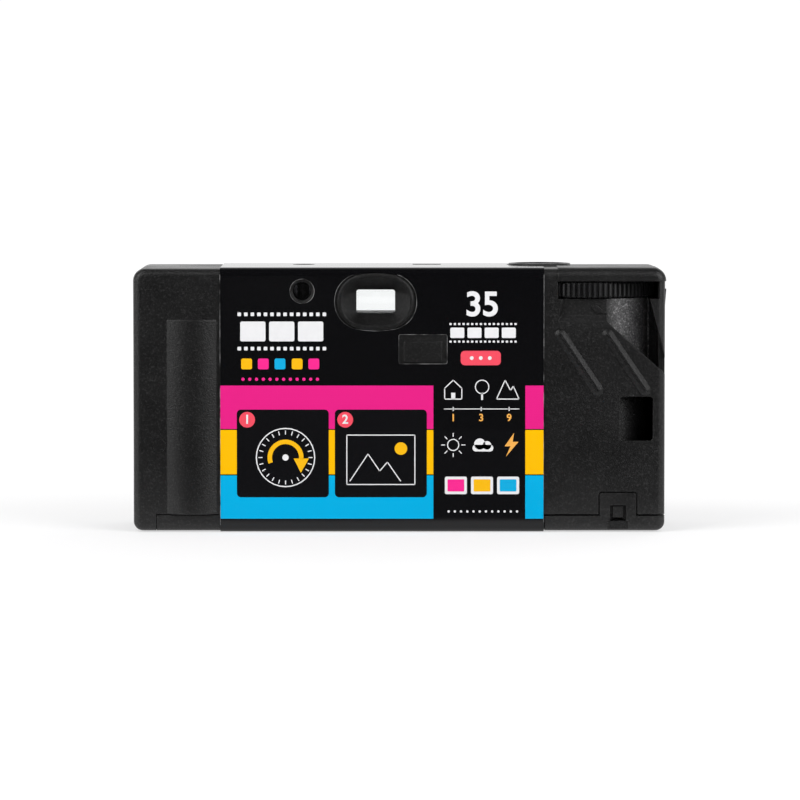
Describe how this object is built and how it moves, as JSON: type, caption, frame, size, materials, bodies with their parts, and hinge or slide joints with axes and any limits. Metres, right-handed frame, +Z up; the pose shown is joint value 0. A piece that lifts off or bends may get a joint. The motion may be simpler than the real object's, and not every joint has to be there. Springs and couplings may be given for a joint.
{
  "type": "single-use camera",
  "caption": "Flat single-use film camera with flash: thumb-wound film advance, see-through finder, wrap label, slide switch and a hinged film door.",
  "frame": {"origin": "on the resting surface, under the middle of the bounding box", "axes": "+X to the right of someone who looks at the rear, along the length; +Y through the thickness towards the lens; +Z up"},
  "size_m": [0.1183, 0.0345, 0.0591],
  "materials": {
    "body_plastic": "fine matte grain",
    "label_film": "glossy printed film",
    "inner_plastic": "matte black",
    "blackened_metal": "blackened",
    "spring_steel": "drawn wire",
    "wheel_plastic": "satin",
    "spool_plastic": "satin",
    "cassette_steel": "lacquered tin",
    "film_base": "glossy",
    "pale_plastic": "natural",
    "reflector_metal": "bright",
    "board_laminate": "laminate",
    "capacitor_sleeve": "sleeved can",
    "coil_lacquer": "wound",
    "contact_brass": "sheet",
    "cell_metal": "plain jacket",
    "clear_plastic": "clear moulded",
    "tube_glass": "clear"
  },
  "bodies": {
    "camera": {"back_cover": "body_plastic", "front_cover": "body_plastic", "wrap_label": "label_film", "main_frame": "inner_plastic", "aperture_plate": "blackened_metal", "kick_spring": "spring_steel", "blade_spring": "spring_steel", "lens_plate": "inner_plastic", "lens": "clear_plastic", "lens_ring": "body_plastic", "finder_tunnel": "inner_plastic", "eyepiece_lens": "clear_plastic", "finder_front_lens": "clear_plastic", "cassette_shell": "cassette_steel", "cassette_caps": "cassette_steel", "film_strip": "film_base", "counter_window": "clear_plastic", "button_spring": "spring_steel", "flash_window": "clear_plastic", "flash_reflector": "reflector_metal", "flash_tube": "tube_glass", "flash_board": "board_laminate", "flash_capacitor": "capacitor_sleeve", "flash_transformer": "coil_lacquer", "trigger_contacts": "contact_brass", "light_guide": "clear_plastic", "ready_lamp": "tube_glass", "battery": "cell_metal", "battery_contacts": "contact_brass"},
    "winder": {"thumbwheel": "wheel_plastic", "cassette_spool": "spool_plastic"},
    "film_sprocket": {"sprocket": "pale_plastic", "metering_cam": "pale_plastic"},
    "supply": {"supply_spool": "spool_plastic", "film_roll": "film_base"},
    "counter": {"counter_wheel": "pale_plastic"},
    "metering": {"metering_lever": "pale_plastic"},
    "kick": {"kick_lever": "inner_plastic"},
    "shutter": {"shutter_blade": "blackened_metal"},
    "button": {"shutter_button": "wheel_plastic"},
    "switch": {"flash_switch": "wheel_plastic"},
    "door": {"film_door": "body_plastic"}
  },
  "joints": [
    {"name": "wind", "type": "hinge", "parent": "camera", "child": "winder", "pos_m": [0.0422, -0.0015, 0.053], "axis": [0, 0, 1], "continuous": true, "deforming": ["film_strip"]},
    {"name": "sprocket_spin", "type": "hinge", "parent": "camera", "child": "film_sprocket", "pos_m": [0.02199, -0.00755, 0.04015], "axis": [0, 0, 1], "continuous": true},
    {"name": "supply_spin", "type": "hinge", "parent": "camera", "child": "supply", "pos_m": [-0.046, -0.005, 0.02605], "axis": [0, 0, 1], "continuous": true},
    {"name": "counter_spin", "type": "hinge", "parent": "camera", "child": "counter", "pos_m": [0.01167, 0.00313, 0.053], "axis": [0, 0, 1], "continuous": true},
    {"name": "metering", "type": "hinge", "parent": "camera", "child": "metering", "pos_m": [0.01499, 0.002, 0.0503], "axis": [0, 0, 1], "range_deg": [0, 7], "stiffness_Nm_per_rad": 0.001, "springref_deg": -5.73},
    {"name": "kick", "type": "hinge", "parent": "camera", "child": "kick", "pos_m": [0.006, 0.00235, 0.0445], "axis": [0, 0, 1], "range_deg": [0, 20], "stiffness_Nm_per_rad": 0.004, "springref_deg": -11.46, "deforming": ["kick_spring"]},
    {"name": "blade", "type": "hinge", "parent": "camera", "child": "shutter", "pos_m": [0.0045, 0.01175, 0.03655], "axis": [0, 1, 0], "range_deg": [-25, 0], "stiffness_Nm_per_rad": 0.0005, "springref_deg": 11.46, "deforming": ["blade_spring"]},
    {"name": "button_press", "type": "slide", "parent": "camera", "child": "button", "axis": [0, 0, -1], "range_m": [0, 0.0009], "stiffness_N_per_m": 1200, "springref_m": -0.0004, "deforming": ["button_spring"]},
    {"name": "flash_slide", "type": "slide", "parent": "camera", "child": "switch", "axis": [0, 0, 1], "range_m": [0, 0.0035]},
    {"name": "door_hinge", "type": "hinge", "parent": "camera", "child": "door", "pos_m": [0.045, 0.01295, 0.00095], "axis": [1, 0, 0], "range_deg": [0, 90]}
  ],
  "couplings": [
    {"joint": "sprocket_spin", "follows": "wind", "ratio": 1},
    {"joint": "supply_spin", "follows": "wind", "ratio": 0.70324},
    {"joint": "counter_spin", "follows": "wind", "ratio": -0.027778},
    {"joint": "blade", "follows": "kick", "ratio": -1.25}
  ]
}
